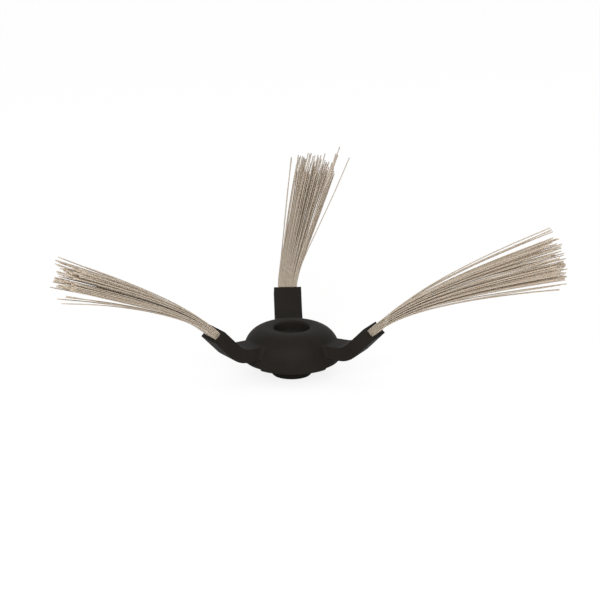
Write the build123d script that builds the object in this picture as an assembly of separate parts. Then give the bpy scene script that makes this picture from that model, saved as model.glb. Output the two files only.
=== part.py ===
"""Side brush of a robot vacuum cleaner, floor side up, standing on its drive boss.

One moulded hub carries three elbowed arms. The end of each arm has a blind socket that
holds a tuft of nylon filaments. The filaments are folded double over a flat wire anchor,
and the ends of the anchor bite into the side walls of the socket.

Millimetres. The origin is on the hub axis, in the end face of the drive boss. +Z points to
the floor side, which is the upper side here.
"""
import math
import os

from build123d import *

# Hub: a shallow cup with a flat crown, a wide rounded shoulder and a notch in its rim under each arm
HUB_RADIUS = 13.2
HUB_TOP = 13.6
HUB_RIM = 4.0
HUB_WALL = 1.8
SHOULDER_RADIUS = 6.4
CROWN_THICKNESS = 3.0
RIM_CHAMFER = 0.4
HOLLOW_CHAMFER = 2.0
NOTCH_TOP = 4.6

# Drive boss with a square socket for the motor's post, and the screw that holds it there
BOSS_RADIUS = 5.5
BOSS_CHAMFER = 0.25
DRIVE_ACROSS = 5.0
DRIVE_DEPTH = 8.5
DRIVE_CORNER = 0.4
DRIVE_LEAD_IN = 0.4
SCREW_HOLE = 2.6
HEAD_RECESS = 10.0
HEAD_DEPTH = 2.2
HEAD_LIP_CHAMFER = 0.4

# Ribs from the boss to the wall of the cup, one in line with each arm
RIB_WALL = 1.2
RIB_BOTTOM = 5.0

# Arms: a level strap from the hub, an elbow, and a sloping end with the tuft's socket
ARM_WIDTH = 7.7
ARM_SLOPE = 46.0
ARM_BOTTOM = 7.3
ARM_TOP = 10.9
ARM_END_RADIUS = 25.3
ARM_END_HEIGHT = 16.1
ARM_END_THICKNESS = 4.0
ELBOW_OUTER_ROUND = 7.0
ELBOW_INNER_ROUND = 5.0
ARM_ROOT_ROUND = 1.2

# Filaments, each folded double over the anchor, in columns side by side and layers round the fold
FILAMENT = 0.36
COLUMN_GAP = 0.085
LAYER_GAP = 0.07
COLUMNS = 12
LAYERS = 2
ANCHOR_DEPTH = 3.4
ANCHOR_THICKNESS = 0.30
ANCHOR_HEIGHT = 1.6
ANCHOR_BITE = 0.5
SOCKET_CLEARANCE = 0.05

# Tufts: free length, the places along them where the filaments bend, where they start to spread
# and how softly, and how uneven the tips are: lengthways in millimetres, and sideways as a share
# of the distance between tips
TUFT_LENGTH = 57.7
BENDS = (3.0, 20.0)
SPREAD_START = 6.4
SPREAD_SOFTNESS = 6.0
TRIM_SCATTER = 1.6
TIP_SCATTER = 0.3

# The three tufts lie as the photograph shows them: heading of the arm, sideways sweep and slope
# at the tips in degrees, the length in which a tuft relaxes from the arm's direction to its own,
# then width and thickness of the spread tips
TUFTS = {
    "back": dict(heading=90.0, sweep=-12.1, slope=21.1, relax=3.1, spread=(14.5, 8.3)),
    "left": dict(heading=210.0, sweep=14.0, slope=24.0, relax=11.7, spread=(9.8, 7.3)),
    "right": dict(heading=330.0, sweep=9.7, slope=18.8, relax=18.6, spread=(11.1, 16.2)),
}

# Sizes that follow from the values above
COLUMN_PITCH = FILAMENT + COLUMN_GAP
LAYER_PITCH = FILAMENT + LAYER_GAP
SQUARE_SIDE = FILAMENT * math.sqrt(math.pi) / 2
FIRST_LAYER = ANCHOR_THICKNESS / 2 + LAYER_GAP + FILAMENT / 2
FIRST_FOLD = ANCHOR_DEPTH + ANCHOR_HEIGHT + LAYER_GAP + FILAMENT / 2
BUNDLE_WIDTH = COLUMNS * COLUMN_PITCH
BUNDLE_THICKNESS = 2 * (FIRST_LAYER + (LAYERS - 1) * LAYER_PITCH) + FILAMENT
SOCKET_WIDTH = BUNDLE_WIDTH + 2 * SOCKET_CLEARANCE
SOCKET_THICKNESS = BUNDLE_THICKNESS + 2 * SOCKET_CLEARANCE
SOCKET_CORNER = FILAMENT / 2 + SOCKET_CLEARANCE
SOCKET_DEPTH = FIRST_FOLD + (LAYERS - 1) * LAYER_PITCH + FILAMENT / 2 + SOCKET_CLEARANCE
ANCHOR_LENGTH = SOCKET_WIDTH + 2 * ANCHOR_BITE
CEILING = HUB_TOP - CROWN_THICKNESS
FIT_TOLERANCE = 0.001

UP = (Align.CENTER, Align.CENTER, Align.MIN)
DOWN = (Align.CENTER, Align.CENTER, Align.MAX)


def direction(heading, slope):
    """Unit vector with this heading in plan and this slope above level, in degrees."""
    level = math.cos(math.radians(slope))
    return Vector(
        level * math.cos(math.radians(heading)),
        level * math.sin(math.radians(heading)),
        math.sin(math.radians(slope)),
    )


def square_to(origin, heading, slope):
    """Plane square to a run: x sideways, y to the upper side, z along the run."""
    return Plane(
        origin=origin,
        x_dir=direction(heading + 90.0, 0.0),
        z_dir=direction(heading, slope),
    )


def socket_mouth(heading):
    """Plane in the end face of an arm, centred on its socket."""
    centre = direction(heading, 0.0) * ARM_END_RADIUS + Vector(0, 0, ARM_END_HEIGHT)
    return square_to(centre, heading, ARM_SLOPE)


def cylinder(radius, bottom, top):
    return Pos(0, 0, bottom) * Cylinder(radius, top - bottom, align=UP)


def arm_profile():
    """Side view of an arm from the hub axis to its end face, drawn on the XZ plane."""
    slope = math.radians(ARM_SLOPE)
    half = ARM_END_THICKNESS / 2
    upper_end = (ARM_END_RADIUS - half * math.sin(slope), ARM_END_HEIGHT + half * math.cos(slope))
    lower_end = (ARM_END_RADIUS + half * math.sin(slope), ARM_END_HEIGHT - half * math.cos(slope))
    upper_elbow = (upper_end[0] - (upper_end[1] - ARM_TOP) / math.tan(slope), ARM_TOP)
    lower_elbow = (lower_end[0] - (lower_end[1] - ARM_BOTTOM) / math.tan(slope), ARM_BOTTOM)
    outline = Polyline(
        (0, ARM_BOTTOM), lower_elbow, lower_end, upper_end, upper_elbow, (0, ARM_TOP), close=True
    )
    profile = make_face(Plane.XZ * outline)
    corners = profile.vertices()
    profile = fillet(corners.sort_by_distance((lower_elbow[0], 0, lower_elbow[1]))[0], ELBOW_OUTER_ROUND)
    corners = profile.vertices()
    return fillet(corners.sort_by_distance((upper_elbow[0], 0, upper_elbow[1]))[0], ELBOW_INNER_ROUND)


def on_shoulder(edge):
    """Tells whether an edge runs on the outside of the hub, where an arm's top or side leaves it."""
    spots = [edge.position_at(share) for share in (0.0, 0.35, 0.7, 1.0)]
    ring = HUB_RADIUS - SHOULDER_RADIUS
    foot = HUB_TOP - SHOULDER_RADIUS
    on_side = all(abs(math.hypot(p.X, p.Y) - HUB_RADIUS) < FIT_TOLERANCE for p in spots)
    on_round = all(
        abs(math.hypot(math.hypot(p.X, p.Y) - ring, p.Z - foot) - SHOULDER_RADIUS) < FIT_TOLERANCE
        for p in spots
    )
    level = abs(spots[0].Z - foot) < FIT_TOLERANCE and abs(spots[1].Z - foot) < FIT_TOLERANCE
    between = ARM_BOTTOM + FIT_TOLERANCE < edge.center().Z < ARM_TOP + FIT_TOLERANCE
    return (on_side or on_round) and between and not level


def tuft_socket(mouth):
    """Blind oblong hole for the tuft, with the slits that the anchor's ends cut on their way in."""
    hole = extrude(
        mouth * RectangleRounded(SOCKET_WIDTH, SOCKET_THICKNESS, SOCKET_CORNER), amount=-SOCKET_DEPTH
    )
    slit = extrude(
        mouth * Rectangle(ANCHOR_LENGTH, ANCHOR_THICKNESS), amount=-(ANCHOR_DEPTH + ANCHOR_HEIGHT)
    )
    return hole + slit


def drive_socket():
    """Square socket for the motor's post, with a lead-in at its mouth."""
    mouth = DRIVE_ACROSS + 2 * DRIVE_LEAD_IN
    lead_in = extrude(Rectangle(mouth, mouth), amount=DRIVE_LEAD_IN, taper=45)
    square = RectangleRounded(DRIVE_ACROSS, DRIVE_ACROSS, DRIVE_CORNER)
    return lead_in + extrude(square, amount=DRIVE_DEPTH)


def make_hub():
    shell = cylinder(HUB_RADIUS, HUB_RIM, HUB_TOP)
    shell = fillet(shell.edges().group_by(Axis.Z)[-1], SHOULDER_RADIUS)
    shell = chamfer(shell.edges().group_by(Axis.Z)[0], RIM_CHAMFER)
    shell -= cylinder(HEAD_RECESS / 2, HUB_TOP - HEAD_DEPTH, HUB_TOP)
    shell = chamfer(shell.edges().group_by(Axis.Z)[-1].sort_by(SortBy.RADIUS)[0], HEAD_LIP_CHAMFER)
    arm = extrude(arm_profile(), amount=ARM_WIDTH / 2, both=True)
    body = shell
    for tuft in TUFTS.values():
        body += Rot(0, 0, tuft["heading"]) * arm
    body = fillet([edge for edge in body.edges() if on_shoulder(edge)], ARM_ROOT_ROUND)

    hollow = cylinder(HUB_RADIUS - HUB_WALL, 0, CEILING)
    hollow = chamfer(hollow.edges().group_by(Axis.Z)[-1], HOLLOW_CHAMFER)
    body -= hollow
    notch = Pos(HUB_RADIUS, 0, NOTCH_TOP) * Box(4 * HUB_WALL, ARM_WIDTH, NOTCH_TOP, align=DOWN)
    for tuft in TUFTS.values():
        body -= Rot(0, 0, tuft["heading"]) * notch

    boss = cylinder(BOSS_RADIUS, 0, HUB_TOP - HEAD_DEPTH)
    boss = chamfer(boss.edges().group_by(Axis.Z)[0], BOSS_CHAMFER)
    rib = Pos(0, 0, RIB_BOTTOM) * Box(
        HUB_RADIUS - HUB_WALL / 2, RIB_WALL, CEILING - RIB_BOTTOM,
        align=(Align.MIN, Align.CENTER, Align.MIN),
    )
    ribs = [Rot(0, 0, tuft["heading"]) * rib for tuft in TUFTS.values()]
    body = body + boss + ribs

    body -= drive_socket()
    body -= cylinder(SCREW_HOLE / 2, 0, HUB_TOP)
    for tuft in TUFTS.values():
        body -= tuft_socket(socket_mouth(tuft["heading"]))
    return body


def make_anchor(mouth):
    """Flat wire across the socket, under which the filaments are folded."""
    seat = mouth.offset(-ANCHOR_DEPTH)
    return extrude(seat * Rectangle(ANCHOR_LENGTH, ANCHOR_THICKNESS), amount=-ANCHOR_HEIGHT)


def spread_at(reach):
    """Share of its full spread that a tuft has this far from the socket's mouth."""

    def opened(s):
        beyond = s - SPREAD_START
        return (math.hypot(beyond, SPREAD_SOFTNESS) + beyond) / 2

    return (opened(reach) - opened(BENDS[0])) / (opened(TUFT_LENGTH) - opened(BENDS[0]))


def tuft_stations(heading, sweep, slope, relax):
    """Planes along the tuft where its filaments bend, with the share of the spread reached there."""
    straight = socket_mouth(heading).offset(BENDS[0])
    stations = [(straight, spread_at(BENDS[0]))]
    place = straight.origin
    before = BENDS[0]
    for reach in (*BENDS[1:], TUFT_LENGTH):
        held = math.exp(-reach / relax)
        mean = relax * (math.exp(-before / relax) - held) / (reach - before)
        run = direction(heading + sweep * (1 - mean), slope + (ARM_SLOPE - slope) * mean)
        place += run * (reach - before)
        plane = square_to(place, heading + sweep * (1 - held), slope + (ARM_SLOPE - slope) * held)
        stations.append((plane, spread_at(reach)))
        before = reach
    return stations


def hairpin_path(mouth, stations, spread, column, layer):
    """Corner points of one filament, from the tip of its upper leg to the tip of its lower one."""
    step = column - (COLUMNS - 1) / 2
    x = step * COLUMN_PITCH
    y = FIRST_LAYER + layer * LAYER_PITCH
    fold = FIRST_FOLD + layer * LAYER_PITCH
    tip_pitch = (spread[0] / COLUMNS, spread[1] / (2 * LAYERS))
    legs = []
    for side in (1, -1):
        seed = 7.1 * column + 4.3 * layer + 2.2 * side
        tip_x = (step + TIP_SCATTER * math.sin(3.7 * seed)) * tip_pitch[0]
        tip_y = (layer + 0.5 + TIP_SCATTER * math.sin(5.3 * seed)) * tip_pitch[1]
        leg = [mouth.from_local_coords((x, side * y, -fold))]
        for plane, share in stations:
            place = (x + (tip_x - x) * share, side * (y + (tip_y - y) * share), 0)
            leg.append(plane.from_local_coords(place))
        last_run = leg[-1] - leg[-2]
        leg[-1] = leg[-1] + last_run.normalized() * TRIM_SCATTER * math.sin(seed)
        legs.append(leg)
    return legs[0][::-1] + legs[1]


def rod(path, sideways):
    """Square rod along corner points, mitred at each corner, with a round filament's section area."""
    runs = [(end - start).normalized() for start, end in zip(path, path[1:])]
    start = Plane(origin=path[0], x_dir=sideways, z_dir=runs[0])
    half = SQUARE_SIDE / 2
    corners = ((half, half), (-half, half), (-half, -half), (half, -half))
    rings = [[start.from_local_coords((x, y, 0)) for x, y in corners]]
    for k, run in enumerate(runs):
        mitre = run + runs[k + 1] if k + 1 < len(runs) else run
        bend = path[k + 1]
        rings.append([p + run * ((bend - p).dot(mitre) / run.dot(mitre)) for p in rings[-1]])
    outlines = [rings[0], rings[-1]]
    for near, far in zip(rings, rings[1:]):
        for k in range(len(corners)):
            outlines.append([near[k - 1], near[k], far[k], far[k - 1]])
    return Solid(Shell([Face(Wire.make_polygon(points, close=True)) for points in outlines]))


def make_tuft(heading, sweep, slope, relax, spread):
    mouth = socket_mouth(heading)
    stations = tuft_stations(heading, sweep, slope, relax)
    sideways = stations[-1][0].x_dir
    return Compound([
        rod(hairpin_path(mouth, stations, spread, column, layer), sideways)
        for column in range(COLUMNS)
        for layer in range(LAYERS)
    ])


def main():
    os.makedirs("parts", exist_ok=True)
    export_step(make_hub(), "parts/hub.step")
    for name, tuft in TUFTS.items():
        export_step(make_anchor(socket_mouth(tuft["heading"])), f"parts/anchor_{name}.step")
        export_step(make_tuft(**tuft), f"parts/tuft_{name}.step")


if __name__ == "__main__":
    main()
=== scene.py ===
"""Side brush of a robot vacuum cleaner, dressed for its portrait.

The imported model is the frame. The hub and the wire anchors are its own nodes with finished
materials. Each tuft is modelled again as round nylon filaments, folded double over its anchor.
"""
import math
import random

import bpy
from bpy.props import FloatProperty, FloatVectorProperty, IntProperty, PointerProperty
from mathutils import Matrix, Vector


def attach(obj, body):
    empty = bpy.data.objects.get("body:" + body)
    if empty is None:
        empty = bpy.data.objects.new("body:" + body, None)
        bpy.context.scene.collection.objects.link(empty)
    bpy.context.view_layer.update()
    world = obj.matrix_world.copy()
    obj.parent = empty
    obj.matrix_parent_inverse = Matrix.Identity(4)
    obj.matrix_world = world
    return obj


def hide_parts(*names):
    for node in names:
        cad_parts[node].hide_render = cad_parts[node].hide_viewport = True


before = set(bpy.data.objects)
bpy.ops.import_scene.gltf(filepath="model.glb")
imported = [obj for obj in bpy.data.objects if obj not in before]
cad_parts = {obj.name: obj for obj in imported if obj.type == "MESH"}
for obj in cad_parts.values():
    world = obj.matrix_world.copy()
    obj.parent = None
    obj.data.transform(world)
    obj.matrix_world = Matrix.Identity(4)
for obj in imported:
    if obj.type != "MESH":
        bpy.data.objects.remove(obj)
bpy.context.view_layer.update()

bl_info = {
    "name": "Side Brush",
    "version": (1, 0, 0),
    "blender": (4, 5, 0),
    "location": "View3D > Sidebar > Side Brush",
    "description": "Bristle tufts, finishes and stage for a three-armed side brush",
    "category": "Object",
}

MM = 0.001

# The three tufts as they lie in the photograph: heading of the arm, sideways sweep and slope of
# the tips, the length in which a tuft relaxes to them, width and thickness of the spread tips,
# and the seed of its unevenness. Places of tips are sideways and upwards in units of half the
# spread: the body is the range that most tips fill, strands are the places they gather round, and
# strays are bundles apart from the body, each with the millimetres by which its filaments are
# longer and how many they are. In the body, filaments are longer by crown inside and by slant at
# the top, and shorter by as much at the rim and at the bottom, in millimetres.
TUFTS = {
    "back": dict(
        heading=90.0, sweep=-12.1, slope=21.1, relax=3.1, spread=(14.5, 8.3), seed=3,
        body=((-0.9, 0.84), (-0.95, 0.97)), crown=0.5, slant=1.6,
        strands=(
            (0.6, 0.4), (0.5, -0.4), (0.2, 0.0), (-0.1, 0.6), (-0.15, -0.6), (-0.5, 0.2), (-0.65, -0.3),
        ),
        strays=((0.94, 0.5, 0.9, 2), (-1.0, 0.75, 1.0, 3), (-1.3, 1.4, 1.2, 1), (-1.46, 0.85, 0.2, 1)),
    ),
    "left": dict(
        heading=210.0, sweep=14.0, slope=24.0, relax=11.7, spread=(9.8, 7.3), seed=5,
        body=((-0.92, 0.92), (-0.98, 0.84)), crown=0.8, slant=0.1,
        strands=((0.6, 0.2), (0.3, 0.6), (0.2, -0.4), (-0.3, 0.1), (-0.5, -0.5), (-0.6, 0.4)),
        strays=(
            (-0.98, 0.9, 0.7, 5), (-0.95, 0.66, 0.7, 3), (-1.0, -1.0, -0.4, 1), (0.0, -1.6, 0.8, 1),
            (0.28, -1.36, 0.0, 2), (0.25, -1.86, 0.5, 1),
        ),
    ),
    "right": dict(
        heading=330.0, sweep=9.7, slope=18.8, relax=18.6, spread=(11.1, 16.2), seed=8,
        body=((-0.95, 0.9), (-0.93, 0.72)), crown=0.5, slant=0.3,
        strands=(
            (0.4, 0.4), (-0.3, 0.45), (0.0, 0.2), (0.5, -0.35), (-0.5, -0.4), (0.1, -0.6), (-0.2, -0.75),
        ),
        strays=(
            (0.42, 0.88, -0.1, 4), (0.45, 0.78, 0.3, 1), (-0.35, -1.02, -1.8, 3), (0.2, -0.96, -0.3, 1),
        ),
    ),
}

# Scatter of the tips in a stray bundle, in units of half the spread, and the least and greatest
# unevenness of a filament's length, in units of the usual one
STRAY_SCATTER = 0.04
SHORTEST, LONGEST = -3.0, 0.8

# Darkest and palest tone of each plastic, as shares of its colour
MOULDING_TONES = (0.6, 1.4)
NYLON_TONES = (0.86, 1.14)

# How much of a filament's tone is its own, how much painted light its tips add (paler spread tips, darker
# towards the packed root), and how much its streaks do
OWN_TONE, PAINTED_TIP_LIGHT, STREAK_TONE = 0.55, 0.35, 0.2

# How far the moulding's roughness goes to either side of its mean, and the steel's least and most
ROUGHNESS_RANGE = 0.1
STEEL_ROUGHNESS = (0.25, 0.45)

# Diameter and place of each lamp in metres, and the place on the hub axis that they all face
LAMPS = {"key": (0.7, (-0.25, -0.95, 0.45)), "fill": (0.6, (0.8, -0.35, 0.5))}
LAMP_AIM = (0.0, 0.0, 0.015)

# Half the floor's side in metres, and how far and to what strength it is lifted for the camera
FLOOR_HALF = 3.0
FLOOR_LIFT, FLOOR_GLOW = 0.75, 1.1

# Where the photograph shows the foot of the hub axis, and its scale there
PHOTO_SIZE = 600
PHOTO_FOOT = (291.4, 373.0)
PHOTO_PIXELS_PER_MM = 3.6


class SideBrushTufts(bpy.types.PropertyGroup):
    """Sizes of the tufts and their filaments; mouth, anchor and lengths are those of the solids."""

    filament: FloatProperty(
        name="Filament", description="Diameter of one filament", default=0.3 * MM, unit="LENGTH"
    )
    column_pitch: FloatProperty(
        name="Column pitch", description="Distance between filaments side by side", default=0.315 * MM,
        unit="LENGTH",
    )
    layer_pitch: FloatProperty(
        name="Layer pitch", description="Distance between filaments nested over the anchor",
        default=0.295 * MM, unit="LENGTH",
    )
    mouth_pitch: FloatProperty(
        name="Mouth pitch", description="Distance between layers in the socket's mouth",
        default=0.355 * MM, unit="LENGTH",
    )
    columns: IntProperty(name="Columns", description="Filaments across the socket", default=17, min=1)
    layers: IntProperty(name="Layers", description="Filaments nested over the anchor", default=3, min=1)
    anchor_half: FloatProperty(
        name="Anchor", description="Half the anchor's thickness with its gap", default=0.16 * MM,
        unit="LENGTH",
    )
    anchor_top: FloatProperty(
        name="Anchor top", description="Depth of the anchor's upper edge", default=3.4 * MM, unit="LENGTH"
    )
    anchor_foot: FloatProperty(
        name="Anchor foot", description="Depth of the anchor's lower edge with its gap", default=5.01 * MM,
        unit="LENGTH",
    )
    mouth_radius: FloatProperty(
        name="Mouth radius", description="From the hub axis to the socket's mouth", default=25.3 * MM,
        unit="LENGTH",
    )
    mouth_height: FloatProperty(
        name="Mouth height", description="From the boss face to the socket's mouth", default=16.1 * MM,
        unit="LENGTH",
    )
    arm_slope: FloatProperty(
        name="Arm slope", description="Slope of the arm's end", default=math.radians(46.0), subtype="ANGLE"
    )
    length: FloatProperty(
        name="Length", description="Free length of a tuft", default=57.7 * MM, unit="LENGTH"
    )
    spread_start: FloatProperty(
        name="Spread start", description="Where a tuft starts to spread", default=6.4 * MM, unit="LENGTH"
    )
    spread_softness: FloatProperty(
        name="Spread softness", description="How gradually the spread starts", default=6.0 * MM,
        unit="LENGTH",
    )
    gather: FloatProperty(
        name="Gather", description="How far a tip moves to the middle of its strand", default=0.1,
        subtype="FACTOR", min=0.0, max=1.0,
    )
    ragged: FloatProperty(
        name="Ragged", description="Usual unevenness of a filament's length", default=0.5 * MM,
        unit="LENGTH",
    )
    bow: FloatProperty(
        name="Bow", description="Usual bow of a filament", default=0.4 * MM, unit="LENGTH"
    )
    tries: IntProperty(
        name="Tries", description="Bows tried for a filament that runs into others", default=60, min=1
    )
    nudge: FloatProperty(
        name="Nudge", description="By how much more a tip may move at each try", default=0.02 * MM,
        unit="LENGTH",
    )
    colour: FloatVectorProperty(
        name="Colour", description="Nylon of the filaments", default=(0.45, 0.382, 0.305), size=3,
        subtype="COLOR", min=0.0, max=1.0,
    )


class SideBrushMoulding(bpy.types.PropertyGroup):
    """Finish of the hub and the anchors."""

    colour: FloatVectorProperty(
        name="Colour", description="Black plastic of the hub", default=(0.0143, 0.0120, 0.0099), size=3,
        subtype="COLOR", min=0.0, max=1.0,
    )
    roughness: FloatProperty(
        name="Roughness", description="Mean roughness of the moulding", default=0.62, subtype="FACTOR"
    )
    edge: FloatProperty(
        name="Edge", description="Radius that softens the moulding's edges", default=0.25 * MM,
        unit="LENGTH",
    )
    steel: FloatVectorProperty(
        name="Steel", description="Flat wire of the anchors", default=(0.55, 0.54, 0.52), size=3,
        subtype="COLOR", min=0.0, max=1.0,
    )


class SideBrushStage(bpy.types.PropertyGroup):
    """Camera, lamps and floor."""

    distance: FloatProperty(
        name="Distance", description="From the camera to the foot of the hub", default=0.8, unit="LENGTH"
    )
    elevation: FloatProperty(
        name="Elevation", description="Camera above the floor", default=math.radians(19.4), subtype="ANGLE"
    )
    azimuth: FloatProperty(
        name="Azimuth", description="Camera round the hub, clockwise from the front",
        default=math.radians(2.56), subtype="ANGLE",
    )
    roll: FloatProperty(
        name="Roll", description="Camera about its own line of sight", default=math.radians(0.23),
        subtype="ANGLE",
    )
    key: FloatProperty(name="Key", description="Power of the large front lamp", default=7.0, unit="POWER")
    fill: FloatProperty(name="Fill", description="Power of the side lamp", default=1.5, unit="POWER")
    sky: FloatProperty(name="Sky", description="Strength of the light from all round", default=0.6)
    floor: FloatVectorProperty(
        name="Floor", description="Pale floor", default=(0.9, 0.9, 0.9), size=3, subtype="COLOR", min=0.0,
        max=1.0,
    )


def new_material(name):
    """A material with an empty node tree, its Principled shader and a helper that adds nodes."""
    material = bpy.data.materials.new(name)
    material.use_nodes = True
    tree = material.node_tree
    shader = tree.nodes["Principled BSDF"]

    def add(kind, **values):
        node = tree.nodes.new(kind)
        for key, value in values.items():
            if key in node.inputs:
                node.inputs[key].default_value = value
            else:
                setattr(node, key, value)
        return node

    return material, tree, shader, add


def two_tones(add, colour, tones):
    """Mix of the darkest and the palest tone of a colour."""
    tint = add("ShaderNodeMix", data_type="RGBA")
    for socket, tone in zip("AB", tones):
        tint.inputs[socket].default_value = (*(tone * c for c in colour), 1.0)
    return tint


def hub_plastic(settings):
    """Black moulded plastic: a fine spark-eroded grain, faint flow marks and softened edges."""
    material, tree, shader, add = new_material("hub_plastic")
    place = add("ShaderNodeTexCoord")
    grain = add("ShaderNodeTexNoise", Scale=5200.0, Detail=3.0, Roughness=0.6)
    flow = add("ShaderNodeTexNoise", Scale=160.0, Detail=4.0, Roughness=0.55)
    for texture in (grain, flow):
        tree.links.new(place.outputs["Object"], texture.inputs["Vector"])

    tint = two_tones(add, settings.colour, MOULDING_TONES)
    tree.links.new(flow.outputs["Fac"], tint.inputs["Factor"])
    tree.links.new(tint.outputs["Result"], shader.inputs["Base Color"])

    gloss = add("ShaderNodeMapRange")
    gloss.inputs["To Min"].default_value = settings.roughness - ROUGHNESS_RANGE
    gloss.inputs["To Max"].default_value = settings.roughness + ROUGHNESS_RANGE
    tree.links.new(flow.outputs["Fac"], gloss.inputs["Value"])
    tree.links.new(gloss.outputs["Result"], shader.inputs["Roughness"])

    edge = add("ShaderNodeBevel", samples=6, Radius=settings.edge)
    bump = add("ShaderNodeBump", Strength=0.12, Distance=0.02 * MM)
    tree.links.new(grain.outputs["Fac"], bump.inputs["Height"])
    tree.links.new(edge.outputs["Normal"], bump.inputs["Normal"])
    tree.links.new(bump.outputs["Normal"], shader.inputs["Normal"])
    shader.inputs["Specular IOR Level"].default_value = 0.07
    return material


def bristle_nylon(settings):
    """Beige nylon: each filament has its own tone and painted light that makes it paler towards its tips,
    and light goes a little way into it.
    """
    material, tree, shader, add = new_material("bristle")
    # The tone attribute carries each filament's own tone and the painted light that pales its tips
    tone = add("ShaderNodeAttribute", attribute_name="tone")
    place = add("ShaderNodeTexCoord")
    streak = add("ShaderNodeTexNoise", Scale=900.0, Detail=2.0)
    tree.links.new(place.outputs["Object"], streak.inputs["Vector"])
    shade = add("ShaderNodeMath", operation="MULTIPLY_ADD")
    shade.inputs[1].default_value = STREAK_TONE
    tree.links.new(streak.outputs["Fac"], shade.inputs[0])
    tree.links.new(tone.outputs["Fac"], shade.inputs[2])

    tint = two_tones(add, settings.colour, NYLON_TONES)
    tree.links.new(shade.outputs["Value"], tint.inputs["Factor"])
    tree.links.new(tint.outputs["Result"], shader.inputs["Base Color"])
    shader.inputs["Roughness"].default_value = 0.42
    shader.inputs["Specular IOR Level"].default_value = 0.45
    shader.inputs["Subsurface Weight"].default_value = 0.8
    shader.inputs["Subsurface Radius"].default_value = (1.0, 0.9, 0.8)
    shader.inputs["Subsurface Scale"].default_value = 0.5 * MM
    return material


def anchor_steel(settings):
    """Drawn flat wire: bright steel with marks along its length."""
    material, tree, shader, add = new_material("anchor_wire")
    place = add("ShaderNodeTexCoord")
    marks = add("ShaderNodeTexNoise", Scale=4000.0, Detail=2.0)
    gloss = add("ShaderNodeMapRange")
    gloss.inputs["To Min"].default_value = STEEL_ROUGHNESS[0]
    gloss.inputs["To Max"].default_value = STEEL_ROUGHNESS[1]
    tree.links.new(place.outputs["Object"], marks.inputs["Vector"])
    tree.links.new(marks.outputs["Fac"], gloss.inputs["Value"])
    tree.links.new(gloss.outputs["Result"], shader.inputs["Roughness"])
    shader.inputs["Base Color"].default_value = (*settings.steel, 1.0)
    shader.inputs["Metallic"].default_value = 1.0
    return material


def paint(node, material):
    """Gives one of the frame's own nodes this material all over."""
    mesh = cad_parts[node].data
    mesh.materials.clear()
    mesh.materials.append(material)


def direction(heading, slope):
    """Unit vector with this heading in plan and this slope above level, in radians."""
    level = math.cos(slope)
    return Vector((level * math.cos(heading), level * math.sin(heading), math.sin(slope)))


class TuftLine:
    """Middle line of a tuft, with the sideways and upper direction at each place along it.

    The places lie closer together near the mouth, where a tuft bends, and they reach beyond the
    usual length, for the longest filaments.
    """

    STEPS = 26
    REACH = 1.15
    CROWDING = 1.4

    def __init__(self, settings, heading, sweep, slope, relax):
        heading, sweep, slope = (math.radians(a) for a in (heading, sweep, slope))
        here = direction(heading, 0.0) * settings.mouth_radius + Vector((0, 0, settings.mouth_height))
        self.mouth = here.copy()
        self.heading, self.slope = heading, settings.arm_slope
        self.stations = []
        before = 0.0
        for k in range(self.STEPS + 1):
            s = self.REACH * settings.length * (k / self.STEPS) ** self.CROWDING
            held = math.exp(-s / (relax * MM))
            if s > before:
                mean = relax * MM * (math.exp(-before / (relax * MM)) - held) / (s - before)
                run = direction(heading + sweep * (1 - mean), slope + (self.slope - slope) * mean)
                here = here + run * (s - before)
            turned = heading + sweep * (1 - held)
            sloped = slope + (self.slope - slope) * held
            self.stations.append((s, here, self.sideways(turned), self.upper(turned, sloped)))
            before = s

    @staticmethod
    def sideways(heading):
        """Level direction to the left of this heading."""
        return direction(heading + math.pi / 2, 0.0)

    @staticmethod
    def upper(heading, slope):
        """Direction square to this heading and slope, on the upper side."""
        return direction(heading, slope + math.pi / 2)

    def in_socket(self, x, y, depth):
        """A point in the socket, this far down from its mouth."""
        return (
            self.mouth + self.sideways(self.heading) * x + self.upper(self.heading, self.slope) * y
            - direction(self.heading, self.slope) * depth
        )


def spread_at(settings, reach):
    """Share of its full spread that a tuft has this far from the socket's mouth."""

    def opened(s):
        beyond = s - settings.spread_start
        return (math.hypot(beyond, settings.spread_softness) + beyond) / 2

    return (opened(reach) - opened(0.0)) / (opened(settings.length) - opened(0.0))


def leg_points(line, settings, root, tip, bow, length):
    """Points of one leg of a filament from the mouth to its tip."""
    points = []
    for s, centre, sideways, upper in line.stations:
        share = spread_at(settings, s)
        lean = math.sin(math.pi * min(s / settings.length, 1.0)) * share
        x = root[0] + (tip[0] - root[0]) * share + bow[0] * lean
        y = root[1] + (tip[1] - root[1]) * share + bow[1] * lean
        point = centre + sideways * x + upper * y
        if s >= length:
            before = line.stations[len(points) - 1][0]
            points.append(points[-1].lerp(point, (length - before) / (s - before)))
            break
        points.append(point)
    return points


def fold_points(line, settings, x, layer):
    """Points of the fold round the anchor, from the upper leg beside it to the lower one."""
    radius = settings.layer_pitch * layer + settings.filament / 2
    half, foot = settings.anchor_half, settings.anchor_foot
    quarter = [math.pi / 2 * k / 4 for k in range(5)]
    upper = [(half + radius, settings.anchor_top)]
    upper += [(half + radius * math.cos(a), foot + radius * math.sin(a)) for a in quarter]
    lower = [(-y, depth) for y, depth in reversed(upper)]
    return [line.in_socket(x, y, depth) for y, depth in upper + lower]


def rounded(u, v):
    """Moves a place in a square of half size 1 inwards near the corners, halfway to a disc."""
    return u * math.sqrt(1 - v * v / 4), v * math.sqrt(1 - u * u / 4)


def between(limits, share):
    """Value this share of the way from the middle of a range to its ends, -1 to 1."""
    return (limits[0] + limits[1] + (limits[1] - limits[0]) * share) / 2


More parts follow.
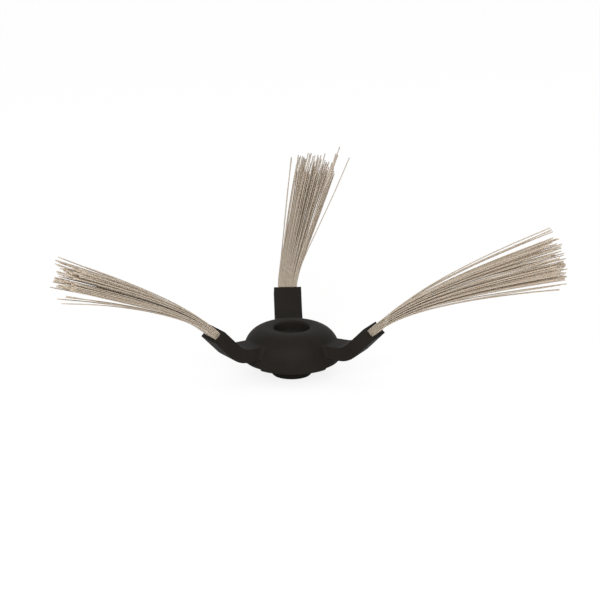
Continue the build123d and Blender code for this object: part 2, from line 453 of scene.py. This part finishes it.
def tip_places(dice, settings, tuft):
    """Place of each tip in the spread and its change of length, by column, layer and side."""
    half = (settings.columns - 1) / 2
    places = {}
    for column in range(settings.columns):
        for layer in range(settings.layers):
            for side in (1, -1):
                u = (column - half + dice.uniform(-0.5, 0.5)) / (half + 0.5)
                v = side * (layer + 0.5 + dice.uniform(-0.5, 0.5)) / settings.layers
                u, v = rounded(max(-1, min(1, u)), max(-1, min(1, v)))
                u, v = between(tuft["body"][0], u), between(tuft["body"][1], v)
                centre = min(tuft["strands"], key=lambda c: math.dist(c, (u, v)))
                pull = settings.gather * dice.uniform(0.2, 1.8)
                u, v = u + (centre[0] - u) * pull, v + (centre[1] - v) * pull
                longer = tuft["crown"] * (1 - 2 * v * v) + tuft["slant"] * v
                places[column, layer, side] = (u, v, longer * MM)
    free = set(places)
    for u, v, longer, count in tuft["strays"]:
        for _ in range(count):
            nearest = min(free, key=lambda key: (math.dist(places[key][:2], (u, v)), key))
            free.discard(nearest)
            scatter = STRAY_SCATTER if count > 1 else 0.0
            places[nearest] = (u + dice.gauss(0, scatter), v + dice.gauss(0, scatter), longer * MM)
    return places


def clearance(leg, others):
    """Closest that the middle line of a leg comes to those of other legs along the tuft."""
    closest = math.inf
    for other in others:
        gaps = [here - there for here, there in zip(leg, other)]
        for gap, following in zip(gaps, gaps[1:]):
            change = following - gap
            share = -gap.dot(change) / change.length_squared if change.length_squared else 0.0
            closest = min(closest, (gap + change * max(0.0, min(1.0, share))).length)
    return closest


def free_leg(dice, line, settings, root, tip, length, others):
    """A leg that runs clear of the others, or the clearest one of all its tries."""
    best, room = None, -1.0
    for attempt in range(settings.tries):
        bow = (dice.gauss(0, settings.bow), dice.gauss(0, settings.bow))
        moved = [place + dice.gauss(0, settings.nudge * attempt) for place in tip]
        leg = leg_points(line, settings, root, moved, bow, length)
        clear = clearance(leg, others)
        if clear > room:
            best, room = leg, clear
        if room >= settings.filament:
            break
    return best


def tuft_filaments(line, settings, tuft):
    """Point lists of all the filaments of a tuft, each with its tone."""
    dice = random.Random(tuft["seed"])
    half = (settings.columns - 1) / 2
    places = tip_places(dice, settings, tuft)
    filaments, placed = [], []
    for column in range(settings.columns):
        for layer in range(settings.layers):
            x = (column - half) * settings.column_pitch
            legs = []
            for side in (1, -1):
                u, v, longer = places[column, layer, side]
                root = (x, side * (layer + 0.5) * settings.mouth_pitch)
                tip = (u * tuft["spread"][0] * MM / 2, v * tuft["spread"][1] * MM / 2)
                uneven = max(SHORTEST, min(LONGEST, dice.gauss(0, 1))) * settings.ragged
                length = settings.length + longer + uneven
                legs.append(free_leg(dice, line, settings, root, tip, length, placed))
                placed.append(legs[-1])
            fold = fold_points(line, settings, x, layer)
            filaments.append((legs[0][::-1] + fold + legs[1], dice.random()))
    return filaments


def add_tube(points, radius, vertices, faces, sides=8):
    """Adds a round rod with closed ends along these points."""
    first = len(vertices)
    ahead = (points[1] - points[0]).normalized()
    across = ahead.orthogonal().normalized()
    for k, point in enumerate(points):
        before, after = points[max(k - 1, 0)], points[min(k + 1, len(points) - 1)]
        turned = (after - before).normalized()
        across = (ahead.rotation_difference(turned) @ across).normalized()
        ahead = turned
        other = ahead.cross(across)
        for n in range(sides):
            angle = 2 * math.pi * n / sides
            vertices.append(point + (across * math.cos(angle) + other * math.sin(angle)) * radius)
    for k in range(len(points) - 1):
        ring = first + k * sides
        for n in range(sides):
            m = (n + 1) % sides
            faces.append((ring + n, ring + m, ring + sides + m, ring + sides + n))
    faces.append(tuple(first + n for n in reversed(range(sides))))
    faces.append(tuple(first + (len(points) - 1) * sides + n for n in range(sides)))


def tuft_mesh(name, filaments, radius):
    """One mesh of all the filaments, with each one's tone stored on it, and painted light that makes it
    paler towards its tips and darker towards the fold.
    """
    vertices, faces, tones = [], [], []
    for points, tone in filaments:
        add_tube(points, radius, vertices, faces)
        sides = (len(vertices) - len(tones)) // len(points)
        middle = (len(points) - 1) / 2
        for k in range(len(points)):
            outward = abs(k - middle) / middle
            # Painted light: tips made paler and legs darker towards the fold, for the light on the spread
            # tips and the shade in the packed root
            tones += [OWN_TONE * tone + PAINTED_TIP_LIGHT * outward ** 2] * sides
    mesh = bpy.data.meshes.new(name)
    mesh.from_pydata(vertices, [], faces)
    mesh.shade_smooth()
    mesh.attributes.new("tone", "FLOAT", "POINT").data.foreach_set("value", tones)
    for face in mesh.polygons:
        if len(face.vertices) != 4:
            face.use_smooth = False
    mesh.update()
    return mesh


class SIDEBRUSH_OT_tufts(bpy.types.Operator):
    """Model the tufts filament by filament in place of the plain ones"""

    bl_idname = "sidebrush.tufts"
    bl_label = "Set Tufts"

    def execute(self, context):
        settings = context.scene.side_brush_tufts
        nylon = bristle_nylon(settings)
        for name, tuft in TUFTS.items():
            line = TuftLine(settings, tuft["heading"], tuft["sweep"], tuft["slope"], tuft["relax"])
            filaments = tuft_filaments(line, settings, tuft)
            mesh = tuft_mesh(f"bristles_{name}", filaments, settings.filament / 2)
            mesh.materials.append(nylon)
            piece = bpy.data.objects.new(f"bristles_{name}", mesh)
            context.scene.collection.objects.link(piece)
            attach(piece, "root")
            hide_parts(f"tuft_{name}")
        return {"FINISHED"}


class SIDEBRUSH_OT_hub(bpy.types.Operator):
    """Finish the moulded hub and its arms"""

    bl_idname = "sidebrush.hub"
    bl_label = "Finish Hub"

    def execute(self, context):
        paint("hub", hub_plastic(context.scene.side_brush_moulding))
        return {"FINISHED"}


class SIDEBRUSH_OT_anchors(bpy.types.Operator):
    """Finish the flat wire anchors in the tuft sockets"""

    bl_idname = "sidebrush.anchors"
    bl_label = "Finish Anchors"

    def execute(self, context):
        steel = anchor_steel(context.scene.side_brush_moulding)
        for name in TUFTS:
            paint(f"anchor_{name}", steel)
        return {"FINISHED"}


def add_camera(scene, settings):
    """Camera that sees the foot of the hub axis where the photograph shows it, at its scale there."""
    right = Vector((math.cos(settings.azimuth), -math.sin(settings.azimuth), 0.0))
    toward = Vector((
        -math.sin(settings.azimuth) * math.cos(settings.elevation),
        -math.cos(settings.azimuth) * math.cos(settings.elevation),
        math.sin(settings.elevation),
    ))
    up = toward.cross(right)
    middle = PHOTO_SIZE / 2
    aim = (right * (middle - PHOTO_FOOT[0]) + up * (PHOTO_FOOT[1] - middle)) * (MM / PHOTO_PIXELS_PER_MM)
    stand = toward * settings.distance
    data = bpy.data.cameras.new("camera")
    data.lens = data.sensor_width * (stand - aim).length / (PHOTO_SIZE / PHOTO_PIXELS_PER_MM * MM)
    data.clip_start = 0.01
    camera = bpy.data.objects.new("camera", data)
    turn = (aim - stand).to_track_quat("-Z", "Y").to_matrix().to_4x4()
    camera.matrix_world = Matrix.Translation(stand) @ turn @ Matrix.Rotation(-settings.roll, 4, "Z")
    scene.collection.objects.link(camera)
    scene.camera = camera


def add_lamp(scene, name, power, size, place, aim):
    """Round area lamp that faces a point."""
    data = bpy.data.lights.new(name, "AREA")
    data.energy = power
    data.shape = "DISK"
    data.size = size
    lamp = bpy.data.objects.new(name, data)
    turn = (Vector(aim) - Vector(place)).to_track_quat("-Z", "Y").to_matrix().to_4x4()
    lamp.matrix_world = Matrix.Translation(place) @ turn
    scene.collection.objects.link(lamp)


def seen_as_backdrop(tree):
    """Value that is 1 for rays that show the backdrop: from the camera, in gloss and through glass."""
    path = tree.nodes.new("ShaderNodeLightPath")
    total = path.outputs["Is Camera Ray"]
    for ray in ("Is Glossy Ray", "Is Transmission Ray"):
        step = tree.nodes.new("ShaderNodeMath")
        step.operation = "MAXIMUM"
        tree.links.new(total, step.inputs[0])
        tree.links.new(path.outputs[ray], step.inputs[1])
        total = step.outputs["Value"]
    return total


def white_world(scene, strength):
    """White all round where it is seen, and a softer light where it shines."""
    world = bpy.data.worlds.new("studio")
    world.use_nodes = True
    tree = world.node_tree
    tree.nodes.clear()
    shine = tree.nodes.new("ShaderNodeBackground")
    shine.inputs["Color"].default_value = (1.0, 1.0, 1.0, 1.0)
    shine.inputs["Strength"].default_value = strength
    seen = tree.nodes.new("ShaderNodeBackground")
    seen.inputs["Color"].default_value = (1.0, 1.0, 1.0, 1.0)
    seen.inputs["Strength"].default_value = 1.0
    mix = tree.nodes.new("ShaderNodeMixShader")
    out = tree.nodes.new("ShaderNodeOutputWorld")
    tree.links.new(seen_as_backdrop(tree), mix.inputs["Fac"])
    tree.links.new(shine.outputs["Background"], mix.inputs[1])
    tree.links.new(seen.outputs["Background"], mix.inputs[2])
    tree.links.new(mix.outputs["Shader"], out.inputs["Surface"])
    scene.world = world


def floor_material(colour):
    """Pale matt floor, lifted towards white for the camera so that only the shadow shows on it."""
    material, tree, shader, add = new_material("pale_floor")
    shader.inputs["Base Color"].default_value = (*colour, 1.0)
    shader.inputs["Roughness"].default_value = 0.9
    shader.inputs["Specular IOR Level"].default_value = 0.0
    path = add("ShaderNodeLightPath")
    lift = add("ShaderNodeMath", operation="MULTIPLY")
    lift.inputs[1].default_value = FLOOR_LIFT
    white = add("ShaderNodeEmission", Strength=FLOOR_GLOW)
    mix = add("ShaderNodeMixShader")
    out = tree.nodes["Material Output"]
    tree.links.new(path.outputs["Is Camera Ray"], lift.inputs[0])
    tree.links.new(lift.outputs["Value"], mix.inputs["Fac"])
    tree.links.new(shader.outputs["BSDF"], mix.inputs[1])
    tree.links.new(white.outputs["Emission"], mix.inputs[2])
    tree.links.new(mix.outputs["Shader"], out.inputs["Surface"])
    return material


class SIDEBRUSH_OT_stage(bpy.types.Operator):
    """Set up the floor, the lamps, the white surroundings and the camera"""

    bl_idname = "sidebrush.stage"
    bl_label = "Set Stage"

    def execute(self, context):
        scene = context.scene
        settings = scene.side_brush_stage
        scene.view_settings.view_transform = "Standard"
        mesh = bpy.data.meshes.new("floor")
        corners = [(x * FLOOR_HALF, y * FLOOR_HALF, 0.0) for x, y in ((-1, -1), (1, -1), (1, 1), (-1, 1))]
        mesh.from_pydata(corners, [], [(0, 1, 2, 3)])
        mesh.materials.append(floor_material(settings.floor))
        floor = bpy.data.objects.new("floor", mesh)
        scene.collection.objects.link(floor)
        for name, (size, place) in LAMPS.items():
            add_lamp(scene, name, getattr(settings, name), size, place, LAMP_AIM)
        white_world(scene, settings.sky)
        add_camera(scene, settings)
        return {"FINISHED"}


class SIDEBRUSH_PT_panel(bpy.types.Panel):
    """Steps and settings of the side brush"""

    bl_idname = "SIDEBRUSH_PT_panel"
    bl_label = "Side Brush"
    bl_space_type = "VIEW_3D"
    bl_region_type = "UI"
    bl_category = "Side Brush"

    def draw(self, context):
        for step in STEPS:
            self.layout.operator(step.bl_idname)
        for group in GROUPS:
            settings = getattr(context.scene, group)
            for name in settings.__annotations__:
                self.layout.prop(settings, name)


STEPS = (SIDEBRUSH_OT_hub, SIDEBRUSH_OT_anchors, SIDEBRUSH_OT_tufts, SIDEBRUSH_OT_stage)
GROUPS = {
    "side_brush_tufts": SideBrushTufts,
    "side_brush_moulding": SideBrushMoulding,
    "side_brush_stage": SideBrushStage,
}


def register():
    for cls in (*GROUPS.values(), *STEPS, SIDEBRUSH_PT_panel):
        bpy.utils.register_class(cls)
    for name, cls in GROUPS.items():
        setattr(bpy.types.Scene, name, PointerProperty(type=cls))


def unregister():
    for name in GROUPS:
        delattr(bpy.types.Scene, name)
    for cls in reversed((*GROUPS.values(), *STEPS, SIDEBRUSH_PT_panel)):
        bpy.utils.unregister_class(cls)


def main():
    register()
    bpy.ops.sidebrush.hub()
    bpy.ops.sidebrush.anchors()
    bpy.ops.sidebrush.tufts()
    bpy.ops.sidebrush.stage()


if __name__ == "__main__":
    main()
